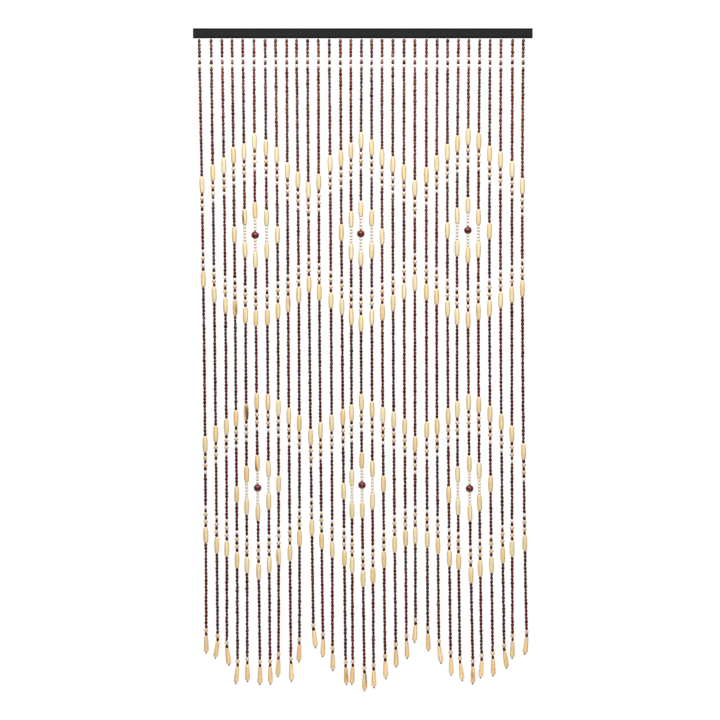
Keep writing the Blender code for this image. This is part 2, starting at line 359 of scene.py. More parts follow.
def turned_outline(rings, fullness, mouth, depth):
    """A tumbled bead. Along: minus the cosine of an angle, across: its sine to a power.

    The angle runs between the two mouths of the hole. The poles lie inside, by depth."""
    angle = np.linspace(mouth, np.pi - mouth, rings)
    along = -np.cos(angle) / math.cos(mouth)
    across = np.sin(angle) ** fullness
    along = np.concatenate([[depth - 1], along, [1 - depth]])
    return along, np.concatenate([[0], across, [0]])


def drill(along, across, depth):
    """Close an outline at both ends with the rim of a threading hole and a pole inside."""
    along = np.concatenate([[depth - 1, -HOLE_RIM], along, [HOLE_RIM, 1 - depth]])
    return along, np.concatenate([[0, HOLE_SHARE], across, [HOLE_SHARE, 0]])


def spindle_outline(rings, end_share, fullness):
    """A long bead: from its flat ends it swells as a cosine to a power, over end_share."""
    along = np.sin(np.linspace(-1, 1, rings) * np.pi / 2)
    across = end_share + (1 - end_share) * np.cos(along * np.pi / 2) ** fullness
    across[[0, -1]] *= 0.80
    across[[1, -2]] *= 0.96
    return drill(along, across, LONG_HOLE_DEPTH)


def pear_outline(rings, top_share, shoulder):
    """An end drop: it swells as a sine down to its shoulder, then rounds off.

    Past the shoulder it is the swelling times the root of one minus a power of the way on."""
    down = 0.5 - 0.5 * np.cos(np.linspace(0, np.pi, rings))
    swell = top_share + (1 - top_share) * np.sin(np.minimum(down / shoulder, 1) * np.pi / 2)
    past = SHOULDER_REACH * np.maximum(down - shoulder, 0) / (1 - shoulder)
    across = swell * np.sqrt(1 - past ** SHOULDER_POWER)
    across[0] *= 0.88
    return drill((2 * down - 1)[::-1] * -1, across[::-1], DROP_HOLE_DEPTH)


print("rows of a dark bead:", len(turned_outline(6, 0.6, 0.28, 0.25)[0]))

# %% Carry an outline round every bead of a kind
GRAIN_REACH = 900


def bead_frames(selected, sway, swing=None):
    """Middle, upward axis and two side vectors of each bead, as arrays of x y z.

    A bead follows the slope of its string, leans by its own sway and is nudged sideways."""
    x = np.empty(selected.sum())
    slope = np.empty(selected.sum())
    for number in np.unique(numbers[selected]):
        here = numbers[selected] == number
        depth = depths[selected][here]
        x[here] = string_x(number, depth)
        slope[here] = (string_x(number, depth + MM) - string_x(number, depth - MM)) / (2 * MM)
    lean = sway * dice.normal(0, 1, (2, len(x))).clip(-2, 2)
    zigzag = np.where(orders[selected] % 2 == 0, sway, -sway)
    up = np.stack([-slope + lean[0] + zigzag, lean[1], np.ones(len(x))], axis=-1)
    middle = np.stack([x, np.zeros(len(x)), -depths[selected]], axis=-1)
    if swing is not None:
        up = np.stack([-np.sin(swing), np.zeros(len(x)), np.cos(swing)], axis=-1)
        top = depths[selected] - lengths[selected] / 2
        hung = np.stack([x, np.zeros(len(x)), -top], axis=-1)
        middle = hung - up * lengths[selected][:, None] / 2
    up /= np.linalg.norm(up, axis=1, keepdims=True)
    right = np.array([1.0, 0.0, 0.0]) - up[:, :1] * up
    right /= np.linalg.norm(right, axis=1, keepdims=True)
    return middle, up, right, np.cross(up, right)


def turn_beads(name, selected, outline, sides, sway=0.0, nudge=0.0, skew=0.0, swing=None, **own):
    """All the beads of one kind as one piece.

    A point is the middle, plus its share along the axis times half the length, plus its
    share across times half the width, carried round the axis by cosine and sine. Skew moves
    the belly towards one end, and each bead is also turned and made a little oval."""
    kind = kinds[selected][0]
    size = SIZES[kind]
    count = selected.sum()
    middle, up, right, front = bead_frames(selected, sway, swing)
    middle[:, :2] += nudge * dice.uniform(-1, 1, (count, 2))
    half_length = lengths[selected] / 2 * (1 + size.length_spread * dice.uniform(-1, 1, count))
    unevenness = size.width_spread * dice.normal(0, 0.6, count).clip(-1.6, 1.6)
    half_width = size.width / 2 * (1 + unevenness)
    oval = 1 + 0.4 * size.width_spread * dice.uniform(-1, 1, count)
    spin = dice.uniform(0, 2 * np.pi, count)
    belly = skew * dice.uniform(-1, 1, count)

    along, across = outline
    along = along + belly[:, None] * (1 - along ** 2)
    angle = spin[:, None] + np.linspace(0, 2 * np.pi, sides, endpoint=False)
    rise = (half_length[:, None] * along)[:, :, None]
    reach = half_width[:, None, None] * across[None, :, None]
    round_x = reach * (oval[:, None] * np.cos(angle))[:, None, :]
    round_y = reach * (np.sin(angle) / oval[:, None])[:, None, :]
    axes = (right[:, None, None], front[:, None, None], up[:, None, None])
    grid = middle[:, None, None] + round_x[..., None] * axes[0] + round_y[..., None] * axes[1]
    grid = grid + rise[..., None] * axes[2]

    own_place = np.stack([round_x, round_y, rise + np.zeros_like(round_x)], axis=-1) / MM
    grain = own_place + dice.uniform(0, GRAIN_REACH, (count, 1, 1, 3))
    traits = {key: np.reshape(value, (count, 1, 1)) for key, value in own.items()}
    traits["along"] = along[:, :, None]
    traits["aside"] = (grid[..., 0] - middle[:, None, None, 0]) / half_width[:, None, None]
    return skin(name, grid, grain=grain, **traits)


# %% [markdown]
# ## The dark beads
#
# Most of the curtain is small dark beads, about the size of a coffee bean, dyed red-brown
# to almost black and lacquered. They are irregular: fat and thin, tilted in a zigzag,
# and each takes the dye differently. Scattering one bead as instances would repeat its
# outline, so every bead is worked out with its own width, lean, turn and tone. There are
# thousands, so each has only a few dozen faces and its shading is smoothed. In the upper
# half the tones grow lighter, browner and more mixed towards the top.

# %% Turn the dark beads, in three sets like the CAD strands
LIGHTER_DOWN_TO = 0.9
DEEP_TONE, UPPER_TONE = 0.20, 0.34
TONE_SPREAD, UPPER_SPREAD = 0.10, 0.08
ODD_BEAD_SHARE, ODD_BEAD_TONE = 0.06, 0.28

set_starts = (0,) + STRIP_LAST_STRINGS[:-1]
dark_pieces = []
for cad_name, start, last in zip(CAD_STRINGS, set_starts, STRIP_LAST_STRINGS):
    chosen = (kinds == "dark") & (numbers > start) & (numbers <= last)
    # In the upper half the tones grow lighter, browner and more mixed towards the top.
    upper_share = np.clip(1 - depths[chosen] / LIGHTER_DOWN_TO, 0, 1)
    tone = DEEP_TONE + UPPER_TONE * upper_share
    spread = TONE_SPREAD + UPPER_SPREAD * upper_share
    tone += spread * dice.normal(0, 1, chosen.sum()).clip(-2, 2)
    tone += ODD_BEAD_TONE * (dice.uniform(0, 1, chosen.sum()) < ODD_BEAD_SHARE)
    piece = turn_beads(
        cad_name.replace("strings", "dark_beads"), chosen, turned_outline(6, 0.50, 0.28, 0.25),
        sides=10, sway=0.09, nudge=0.35 * MM, skew=0.12, tone=tone,
    )
    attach(piece, "root")
    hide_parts(cad_name)
    dark_pieces.append(piece)

# %% [markdown]
# ## Streaks of heartwood
#
# A few pale beads are turned from a rod that held some heartwood, and show a brown or nearly
# black streak. On the real curtain they fall anywhere, so chance could place them here too.
# A short list is used instead, because each one catches the eye at its own place.

# %% The streaked beads
StreakedBead = namedtuple("StreakedBead", "kind string nth strength side height")
# side: -1 is the left edge, 1 the right. height: -1 is the lower end, 1 the upper.
STREAKED_BEADS = (
    StreakedBead("long", 4, 3, 0.75, 0.3, -0.2),
    StreakedBead("long", 5, 2, 1.0, -0.9, 0.1),
    StreakedBead("long", 5, 5, 1.3, 0.45, -0.3),
    StreakedBead("long", 6, 6, 0.8, -0.4, -0.8),
    StreakedBead("long", 8, 6, 0.5, -0.3, -0.2),
    StreakedBead("long", 9, 2, 0.5, 0.6, 0.2),
    StreakedBead("long", 27, 4, 0.4, -0.4, 0.0),
    StreakedBead("golden", 27, 2, 1.0, 0.0, -0.3),
    StreakedBead("drop", 14, 1, 0.6, 0.2, 0.0),
    StreakedBead("drop", 16, 1, 1.1, 0.9, 0.4),
    StreakedBead("drop", 26, 1, 0.5, -0.2, 0.0),
)


def streaks_of(kind):
    """How strong each bead's streak is, and where it lies aside and along, as traits."""
    on_string = numbers[kinds == kind]
    marks = np.zeros((3, len(on_string)))
    for mark in STREAKED_BEADS:
        if mark.kind == kind:
            place = np.flatnonzero(on_string == mark.string)[mark.nth - 1]
            marks[:, place] = mark.strength, mark.side, mark.height
    return {"streak": marks[0], "streak_aside": marks[1], "streak_along": marks[2]}


print(len(STREAKED_BEADS), "streaked beads")

# %% [markdown]
# ## Cream beads, golden beads and the burgundy balls
#
# The cream beads are little bleached balls, the golden ones are the same wood left natural,
# and the six balls at the diamonds' hearts are dipped in burgundy lacquer. All are turned on
# the same lathe function, with more rings than the dark beads because they are rounder and
# catch the light.

# %% Turn the round beads
RoundBeads = namedtuple("RoundBeads", "name kind rings fullness mouth depth sides slot")
ROUND_BEADS = (
    RoundBeads("cream_beads", "cream", 8, 0.95, 0.24, 0.22, 12, "cream_beads"),
    RoundBeads("golden_beads", "golden", 8, 0.92, 0.24, 0.22, 12, "ivory_wood"),
    RoundBeads("burgundy_balls", "ball", 19, 0.96, 0.12, 0.12, 32, "red_balls"),
)
ROUND_TONE_SPREAD = 0.5
ROUND_PAINTED_FALLOFF = 1.1

round_pieces = {}
for beads in ROUND_BEADS:
    chosen = kinds == beads.kind
    outline = turned_outline(beads.rings, beads.fullness, beads.mouth, beads.depth)
    tone = dice.uniform(0, ROUND_TONE_SPREAD, chosen.sum())
    # Painted shade: the tone grows down the curtain, so lower golden and cream beads are darker
    # and warmer, as the light falls off below.
    tone += ROUND_PAINTED_FALLOFF * depths[chosen] / LEAN_DEPTH
    piece = turn_beads(
        beads.name, chosen, outline, beads.sides, sway=0.03, nudge=0.15 * MM, tone=tone,
        **streaks_of(beads.kind),
    )
    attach(piece, "root")
    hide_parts(*CAD_STRINGS)
    round_pieces[beads.kind] = piece

# %% [markdown]
# ## Long beads and end drops
#
# The long beads draw the diamonds. They are spindles of pale wood with small flat ends. The
# end drops are pears that swing a little as they hang. A modelled outline would be copied
# two hundred times over. The formula lets each bead be a little different and have its own
# grain.

# %% Turn the long beads and the drops
LONG_SIDES = 16
LONG_TONE_SPREAD = 0.6
LONG_PAINTED_FALLOFF = 0.4

chosen = kinds == "long"
tone = dice.uniform(0, LONG_TONE_SPREAD, chosen.sum())
# Painted shade: the tone grows down the curtain, so lower long beads turn more to straw, as the
# light falls off below.
tone += LONG_PAINTED_FALLOFF * depths[chosen] / LEAN_DEPTH
long_piece = turn_beads(
    "long_beads", chosen, spindle_outline(13, 0.64, 0.50), LONG_SIDES,
    sway=0.008, nudge=0.1 * MM, tone=tone, **streaks_of("long"),
)
chosen = kinds == "drop"
drop_swing = np.radians([row.tilt for row in STRINGS])
drop_piece = turn_beads(
    "end_drops", chosen, pear_outline(14, 0.70, 0.86), LONG_SIDES,
    swing=drop_swing, tone=dice.uniform(0, 1, chosen.sum()), **streaks_of("drop"),
)
for piece in (long_piece, drop_piece):
    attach(piece, "root")
    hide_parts(*CAD_STRINGS)

# %% [markdown]
# ## Threads, knots and the strips in the rail
#
# A strong twisted thread runs through every bead. It shows only under the rail, in small
# gaps, and below each drop, where a knot and a short tail hold the whole string up. A curve
# with a bevel would make a tube. The same skin function does it too: a circle carried along
# a path. The knot is a real one, a thread that winds three times through a ring while it
# goes round twice. Most tails are short, and one string's is long and curls. Strips in the
# rail's groove hold the threads' upper ends.

# %% Carry a circle along a path


def tube(name, path, normal, radius, sides, looped=False):
    """Tubes along paths. A ring's point is the path's, plus radius times the sum of normal
    times cosine and binormal times sine, where the binormal is tangent cross normal."""
    if looped:
        tangent = np.roll(path, -1, axis=1) - np.roll(path, 1, axis=1)
    else:
        tangent = np.gradient(path, axis=1)
    tangent /= np.linalg.norm(tangent, axis=2, keepdims=True)
    binormal = np.cross(tangent, normal)
    binormal /= np.linalg.norm(binormal, axis=2, keepdims=True)
    run = np.cumsum(np.linalg.norm(np.diff(path, axis=1, prepend=path[:, :1]), axis=2), axis=1)
    radius = np.broadcast_to(radius, path.shape[:2]).copy()
    if not looped:
        ends = (slice(None), [0, *range(path.shape[1]), -1])
        path, binormal, run, radius = path[ends], binormal[ends], run[ends], radius[ends]
        normal = np.broadcast_to(normal, binormal[:, 2:].shape)[ends]
        radius[:, [0, -1]] = 0
    angle = np.linspace(0, 2 * np.pi, sides, endpoint=False)[None, None, :, None]
    spoke = normal[:, :, None] * np.cos(angle) + binormal[:, :, None] * np.sin(angle)
    grid = path[:, :, None] + radius[:, :, None, None] * spoke
    twist = angle[..., 0] + np.zeros(grid.shape[:3])
    return skin(name, grid, looped, run=run[:, :, None] / MM, twist=twist)


def drop_bottoms(tops):
    """Where each drop ends, and the way that it points, as arrays of x y z."""
    x = np.array([string_x(place + 1, top) for place, top in enumerate(tops)])
    hung = np.stack([x, np.zeros(len(x)), -tops], axis=-1)
    down = np.stack([np.sin(drop_swing), np.zeros(len(x)), -np.cos(drop_swing)], axis=-1)
    return hung + down * lengths[kinds == "drop"][:, None], down


# %% Threads from the rail to the knots
THREAD_DIAMETER = 0.0012
THREAD_STEPS = 90
THREAD_SIDES = 6
THREAD_INTO_RAIL = 0.0010
THREAD_BELOW_DROP = 0.0030

drop_tops = (depths - lengths / 2)[kinds == "drop"]
drop_end, drop_way = drop_bottoms(drop_tops)
steps = np.linspace(0, 1, THREAD_STEPS)
thread_top = RAIL_HEIGHT - THREAD_INTO_RAIL
path_depths = thread_top + steps * (drop_tops[:, None] - thread_top)
path_x = np.stack([string_x(place + 1, row) for place, row in enumerate(path_depths)])
thread_path = np.stack([path_x, np.zeros_like(path_x), -path_depths], axis=-1)
below = drop_end + drop_way * THREAD_BELOW_DROP
thread_path = np.concatenate([thread_path, drop_end[:, None], below[:, None]], axis=1)
facing = np.array([0.0, 1.0, 0.0])
thread_normal = facing + np.zeros_like(thread_path)
thread_piece = tube("threads", thread_path, thread_normal, THREAD_DIAMETER / 2, THREAD_SIDES)

# %% Knots under the drops
KNOT_RING = 0.0011
KNOT_TUBE = 0.0008
KNOT_THREAD = 0.0009
KNOT_STRETCH = 1.6
KNOT_STEPS = 36
KNOT_SIDES = 8
KNOT_BELOW_DROP = 0.0022

each_string = (len(STRINGS), 1)
around = np.linspace(0, 2 * np.pi, KNOT_STEPS, endpoint=False)[None, :]
size = dice.uniform(0.9, 1.15, each_string)
spin = dice.uniform(0, 2 * np.pi, each_string)
ring_angle, tube_angle = 2 * around + spin, 3 * around
ring_radius = size * (KNOT_RING + KNOT_TUBE * np.cos(tube_angle))
knot_path = np.stack([
    ring_radius * np.cos(ring_angle),
    ring_radius * np.sin(ring_angle),
    KNOT_STRETCH * size * KNOT_TUBE * np.sin(tube_angle),
], axis=-1)
knot_normal = np.stack([
    np.cos(tube_angle) * np.cos(ring_angle),
    np.cos(tube_angle) * np.sin(ring_angle),
    np.sin(tube_angle) + np.zeros_like(ring_angle),
], axis=-1)
knot_path += (drop_end + drop_way * KNOT_BELOW_DROP)[:, None]
knot_radius = KNOT_THREAD * size
knot_piece = tube("end_knots", knot_path, knot_normal, knot_radius, KNOT_SIDES, looped=True)

# %% Tails under the knots
TAIL_RADIUS = 0.00042
TAIL_STEPS = 14
TAIL_BELOW_DROP = 0.0034
TAIL_BEND_POWER = 1.5
LongTail = namedtuple("LongTail", "string length heading curl")
LONG_TAIL = LongTail(7, 0.008, -1.1, 2.8)

tail_length = dice.uniform(0.8, 2.2, each_string) * MM
tail_heading = dice.uniform(-0.5, 0.5, each_string)
tail_curl = dice.uniform(-0.9, 0.9, each_string)
tail_length[LONG_TAIL.string - 1] = LONG_TAIL.length
tail_heading[LONG_TAIL.string - 1] = LONG_TAIL.heading
tail_curl[LONG_TAIL.string - 1] = LONG_TAIL.curl
tail_run = np.linspace(0, 1, TAIL_STEPS)[None, :]
heading = tail_heading + tail_curl * tail_run ** TAIL_BEND_POWER
tail_step = tail_length / TAIL_STEPS
tail_x = np.cumsum(np.sin(heading) * tail_step, axis=1)
tail_z = np.cumsum(-np.cos(heading) * tail_step, axis=1)
tail_path = np.stack([tail_x, np.zeros_like(tail_x), tail_z], axis=-1)
tail_path += (drop_end + drop_way * TAIL_BELOW_DROP)[:, None]
tail_normal = facing + np.zeros_like(tail_path)
tail_piece = tube("thread_tails", tail_path, tail_normal, TAIL_RADIUS, THREAD_SIDES)

# %% Strips that hold the threads in the groove
STRIP_STEPS = 24
STRIP_SIDES = 24
CORNER_POWER = 8

strip_breaks = [-GROOVE_LENGTH / 2]
for last in STRIP_LAST_STRINGS[:-1]:
    strip_breaks.append((string_x(last, 0.0) + string_x(last + 1, 0.0)) / 2)
strip_breaks.append(GROOVE_LENGTH / 2)
strip_run = np.linspace(0, 1, STRIP_STEPS)[None, :]
strip_start = np.array(strip_breaks[:-1])[:, None] + CLEARANCE
strip_stop = np.array(strip_breaks[1:])[:, None] - CLEARANCE
strip_x = strip_start + (strip_stop - strip_start) * strip_run
strip_x = strip_x[:, [0, *range(STRIP_STEPS), -1]]
corner = np.linspace(0, 2 * np.pi, STRIP_SIDES, endpoint=False)
corner_sum = np.abs(np.cos(corner)) ** CORNER_POWER + np.abs(np.sin(corner)) ** CORNER_POWER
squared = 1 / corner_sum ** (1 / CORNER_POWER)
strip_half = (GROOVE_WIDTH / 2 - CLEARANCE, (GROOVE_DEPTH - CLEARANCE) / 2)
swelling = np.ones(strip_x.shape[1])
swelling[[0, -1]] = 0
strip_y = swelling[:, None] * strip_half[0] * squared * np.cos(corner)
strip_z = swelling[:, None] * strip_half[1] * squared * np.sin(corner)
each_strip = np.zeros((len(STRIP_LAST_STRINGS), 1, 1))
strip_grid = np.stack([
    strip_x[:, :, None] + np.zeros(STRIP_SIDES),
    strip_y[None] + each_strip,
    strip_z[None] - RAIL_HEIGHT + strip_half[1] + each_strip,
], axis=-1)
strip_piece = skin("groove_strips", strip_grid)
for piece, slot in (
    (thread_piece, "thread"), (knot_piece, "thread"), (tail_piece, "thread"),
    (strip_piece, "black_wood"),
):
    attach(piece, "root")
    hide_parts(*CAD_STRINGS)

# %% [markdown]
# ## Finishes, written as sums
#
# Every finish is worked out by shader nodes, with no pictures. Adding nodes one by one is
# long-winded, so a small class stands for a socket and lets Python's own signs do the maths:
# fibres * 0.5 adds a Math node. Any other node comes from one method. The patterns read each
# bead's own traits, such as its place in the wood, its tone, and how far along it a point
# lies, so that the grain turns and leans with its bead.

# %% A socket that can be added and multiplied, and a finish


class Wire:
    """A socket of a finish. Each sign after a wire adds one Math node."""

    def __init__(self, finish, socket):
        self.finish = finish
        self.socket = socket

    def maths(self, operation, first, second):
        """Add a Math node with two values."""
        return self.finish.node("ShaderNodeMath", {"operation": operation}, {0: first, 1: second})

    def __add__(self, other):
        return self.maths("ADD", self, other)

    def __sub__(self, other):
        return self.maths("SUBTRACT", self, other)

    def __mul__(self, other):
        return self.maths("MULTIPLY", self, other)


class Finish:
    """A procedural material round one Principled shader, or the nodes of a world."""

    def __init__(self, name, world=False):
        shelf = bpy.data.worlds if world else bpy.data.materials
        self.material = shelf.new(name)
        self.material.use_nodes = True
        self.tree = self.material.node_tree
        self.shader = self.tree.nodes.get("Principled BSDF")

    def node(self, kind, settings, sockets, output=0):
        """Add a node: first its settings, then a value or a wire for each socket."""
        node = self.tree.nodes.new(kind)
        for name, value in settings.items():
            if name == "stops":
                self.set_stops(node.color_ramp.elements, value)
            else:
                setattr(node, name, value)
        for name, value in sockets.items():
            self.give(node.inputs[name], value)
        return Wire(self, node.outputs[output])

    def give(self, socket, value):
        """Link a wire to a socket, or set the socket's own value."""
        if isinstance(value, Wire):
            self.tree.links.new(value.socket, socket)
        else:
            socket.default_value = value

    def set_stops(self, elements, stops):
        """Give a colour ramp its stops, as pairs of place and colour."""
        while len(elements) < len(stops):
            elements.new(1.0)
        for element, (place, colour) in zip(elements, stops):
            element.position = place
            element.color = (*colour, 1.0)

    def shade(self, **sockets):
        """Set or link sockets of the shader, named with _ for each space."""
        for name, value in sockets.items():
            self.give(self.shader.inputs[name.replace("_", " ")], value)
        return self.material

    def trait(self, name, output=2):
        """Read a trait that the piece carries: output 2 is a number, 1 a vector."""
        return self.node("ShaderNodeAttribute", {"attribute_name": name}, {}, output)

    def stretched(self, place, by):
        """Multiply a place by a vector, which stretches or squeezes a pattern."""
        return self.node("ShaderNodeVectorMath", {"operation": "MULTIPLY"}, {0: place, 1: by})

    def noise(self, place, scale, detail=3.0):
        """Cloudy noise from 0 to 1."""
        values = {"Vector": place, "Scale": scale, "Detail": detail}
        return self.node("ShaderNodeTexNoise", {}, values)

    def ramp(self, value, stops):
        """Colours along a value."""
        return self.node("ShaderNodeValToRGB", {"stops": stops}, {"Fac": value})

    def mix(self, share, first, second):
        """From the first colour to the second as the share goes from 0 to 1."""
        first, second = (
            (*colour, 1.0) if isinstance(colour, tuple) else colour for colour in (first, second)
        )
        sockets = {0: share, 6: first, 7: second}
        return self.node("ShaderNodeMix", {"data_type": "RGBA"}, sockets, output=2)

    def soft_step(self, value, start, stop):
        """0 below the start, 1 above the stop, and smooth between them."""
        values = {"Value": value, "From Min": start, "From Max": stop}
        return self.node("ShaderNodeMapRange", {"interpolation_type": "SMOOTHSTEP"}, values)

    def bump(self, height, depth, strength=1.0):
        """Relief for the shader's normal, depth in metres."""
        values = {"Height": height, "Distance": depth, "Strength": strength}
        return self.node("ShaderNodeBump", {}, values)


print("The finish tools are ready")

# %% [markdown]
# ## Dyed and lacquered dark wood
#
# Dye soaks in along the fibres, so a bead is streaky, and the tone trait makes one bead
# nearly black and the next red-brown. Each bead's lower end is darkened by painted shade,
# and its upper end is lighter, partly from rubbing and partly painted light from above.
# Over it lies a thin clear lacquer, which is a coat on the shader rather than a lighter
# colour, and the sheen under it is tinted red by the dye. A picture of wood would blur on
# beads this small.

# %% Dark beads
DYE = (
    (0.00, (0.020, 0.0032, 0.0024)),
    (0.30, (0.046, 0.0070, 0.0050)),
    (0.55, (0.110, 0.0420, 0.0340)),
    (0.80, (0.200, 0.0740, 0.0520)),
    (1.00, (0.320, 0.1350, 0.0800)),
)
# Colours for the lighter upper end, partly wear and partly painted light, and for the painted
# shade at the lower end.
WORN_AND_LIT_DYE = (0.260, 0.085, 0.060)
LOWER_SHADE_DYE = (0.030, 0.0030, 0.0025)
DYE_IN_PORES = (0.012, 0.0025, 0.0022)
DYE_SHEEN = (1.0, 0.12, 0.07, 1.0)
DYED_RELIEF = 0.00012


def dyed_wood():
    """Red-brown dye, streaked along the bead, darker in its pores, under a clear coat."""
    finish = Finish("dyed_wood")
    place = finish.trait("grain", output=1)
    fibres = finish.noise(finish.stretched(place, (1.5, 1.5, 0.22)), 1.0, 4.0)
    clouds = finish.noise(place, 0.22, 2.0)
    unevenness = (fibres - 0.5) * 0.5 + (clouds - 0.5) * 0.4
    colour = finish.ramp(finish.trait("tone") + unevenness, DYE)
    along = finish.trait("along")
    # Partly wear and partly painted light: the upper end of each bead is made lighter.
    worn_and_lit_top = finish.soft_step(along, 0.50, 1.00)
    colour = finish.mix(worn_and_lit_top * 0.50, colour, WORN_AND_LIT_DYE)
    # Painted shade: the lower end of each bead is darkened, as the light comes from above.
    painted_lower_shade = finish.soft_step(along * -1, 0.10, 0.90)
    colour = finish.mix(painted_lower_shade * 0.60, colour, LOWER_SHADE_DYE)
    specks = finish.noise(finish.stretched(place, (4, 4, 0.8)), 1.0, 2.0)
    pores = finish.soft_step(specks, 0.60, 0.72)
    return finish.shade(
        Base_Color=finish.mix(pores * 0.6, colour, DYE_IN_PORES),
        Roughness=fibres * 0.22 + 0.30,
        Specular_IOR_Level=0.7,
        Specular_Tint=DYE_SHEEN,
        Coat_Weight=0.12,
        Coat_Roughness=0.14,
        Normal=finish.bump(fibres * 0.7 - pores * 0.6, DYED_RELIEF),
    )


dark_finish = dyed_wood()
for piece in dark_pieces:
    piece.data.materials.append(dark_finish)
print("dark finish nodes:", len(dark_finish.node_tree.nodes))

# %% [markdown]
# ## Pale woods
#
# The long beads, the golden beads and the drops are one kind of pale wood in three shades.
# One function makes them all: fine fibres along the bead, a slow change from straw to
# cream, and lighter cut rims at both ends. No two rods have quite the same hue, so each bead
# gets its own, from lemon to tan. The streak of heartwood is nearest black in its core and
# brown round it, and the fibres make its edge ragged.

# %% Long beads, golden beads and drops
PaleWood = namedtuple("PaleWood", "name pale straw line rim_share roughness hue_share")
LONG_BEAD_WOOD = PaleWood(
    "long_bead_wood", (0.77, 0.69, 0.46), (0.70, 0.54, 0.28), (0.52, 0.355, 0.155), 0.7, 0.42, 1.0
)
DROP_WOOD = PaleWood(
    "drop_wood", (0.80, 0.60, 0.34), (0.66, 0.42, 0.19), (0.46, 0.26, 0.11), 0.3, 0.42, 0.0
)
GOLDEN_WOOD = PaleWood(
    "golden_wood", (0.90, 0.82, 0.655), (0.60, 0.45, 0.285), (0.44, 0.30, 0.167), 0.0, 0.34, 1.0
)
LEMON_HUE = (1.0, 1.0, 1.0)
TAN_HUE = (1.0, 0.86, 0.68)
HUE_SHUFFLE = 23.7
HEARTWOOD = (0.56, 0.27, 0.095)
HEARTWOOD_CORE = (0.14, 0.055, 0.020)
CUT_RIM = (0.92, 0.83, 0.62)
PALE_RELIEF = 0.00010


def pale_wood(wood):
    """Straw to cream, with fine darker lines along the grain and lighter rims at the ends.

    A bead's own hue is what is left of its tone, many times over, past a whole number."""
    finish = Finish(wood.name)
    place = finish.trait("grain", output=1)
    fibres = finish.noise(finish.stretched(place, (1.3, 1.3, 0.07)), 1.0, 5.0)
    bands = finish.noise(finish.stretched(place, (0.32, 0.32, 0.02)), 1.0, 2.0)
    tone = finish.trait("tone")
    # On long and golden beads the tone trait also carries painted shade down the curtain, so lower
    # beads are more straw.
    straw_share = finish.soft_step(bands + tone * 0.25 + fibres * 0.2, 0.42, 0.95)
    colour = finish.mix(straw_share, wood.pale, wood.straw)
    lines = finish.soft_step(fibres, 0.54, 0.72)
    colour = finish.mix(lines * 0.5, colour, wood.line)
    shuffled = finish.node("ShaderNodeMath", {"operation": "FRACT"}, {0: tone * HUE_SHUFFLE})
    own_hue = finish.mix(shuffled * wood.hue_share, LEMON_HUE, TAN_HUE)
    colour = finish.stretched(colour, own_hue)
    colour = streaked(finish, colour, fibres * 0.9 + bands * 0.5)
    along = finish.trait("along")
    rim = finish.soft_step(along * along, 0.88, 0.97)
    colour = finish.mix(rim * wood.rim_share, colour, CUT_RIM)
    return finish.shade(
        Base_Color=colour,
        Roughness=lines * 0.15 + wood.roughness,
        Coat_Weight=0.35,
        Coat_Roughness=0.18,
        Normal=finish.bump(fibres * -1.0 - lines * 0.5, PALE_RELIEF),
    )


def streaked(finish, colour, raggedness):
    """Heartwood round the streak's middle: it fades with the squares of both distances."""
    strength = finish.trait("streak")
    above = (finish.trait("along") - finish.trait("streak_along")) * 0.7
    aside = (finish.trait("aside") - finish.trait("streak_aside")) * 1.3 + above * 0.6
    closeness = raggedness + strength * 0.6 - aside * aside - above * above
    brown = finish.soft_step(closeness, 0.00, 1.00) * strength
    black = finish.soft_step(closeness, 0.75, 1.20) * strength
    return finish.mix(black, finish.mix(brown, colour, HEARTWOOD), HEARTWOOD_CORE)


long_piece.data.materials.append(pale_wood(LONG_BEAD_WOOD))
drop_piece.data.materials.append(pale_wood(DROP_WOOD))
round_pieces["golden"].data.materials.append(pale_wood(GOLDEN_WOOD))
print("pale woods:", LONG_BEAD_WOOD.name, DROP_WOOD.name, GOLDEN_WOOD.name)

# %% [markdown]
# ## Bleached beads and burgundy lacquer
#
# The cream beads are bleached nearly white, with a trace of grain. A grey-brown ring of
# painted shade lies round each hole, where the beads meet, the wider one at the lower end.
# Lower down the curtain they are also warmer, which is painted shade too. The burgundy
# balls are dipped: the lacquer is thick, glossy and slightly cloudy, and the wood is only
# guessed at through it.

# %% Cream beads
BLEACHED_PALE = (0.77, 0.69, 0.60)
BLEACHED_WARM = (0.72, 0.62, 0.50)
JOINT_SHADE = (0.24, 0.20, 0.14)
LOWER_SHADE_MORE = 0.35
BLEACHED_RELIEF = 0.00008


def bleached_wood():
    """Nearly white, a little warmer along the grain, with painted grey-brown shade round the
    holes.
    """
    finish = Finish("bleached_wood")
    place = finish.trait("grain", output=1)
    fibres = finish.noise(finish.stretched(place, (1.2, 1.2, 0.2)), 1.0, 4.0)
    along = finish.trait("along")
    # Painted shade where the beads meet, stronger at each bead's lower end.
    painted_joint_shade = finish.soft_step(along * along - along * LOWER_SHADE_MORE, 0.25, 0.95)
    # The tone trait grows down the curtain, so this warmth is partly painted shade.
    warmth = finish.trait("tone") * 0.5 + finish.soft_step(fibres, 0.45, 0.75) * 0.5
    colour = finish.mix(warmth, BLEACHED_PALE, BLEACHED_WARM)
    return finish.shade(
        Base_Color=finish.mix(painted_joint_shade * 0.85, colour, JOINT_SHADE),
        Roughness=fibres * 0.15 + 0.32,
        Coat_Weight=0.35,
        Coat_Roughness=0.18,
        Normal=finish.bump(fibres, BLEACHED_RELIEF),
    )


# %% Burgundy balls
BURGUNDY = (
    (0.30, (0.060, 0.0030, 0.0040)),
    (0.55, (0.120, 0.0060, 0.0070)),
    (0.80, (0.190, 0.0140, 0.0130)),
)
LACQUER_RELIEF = 0.00010


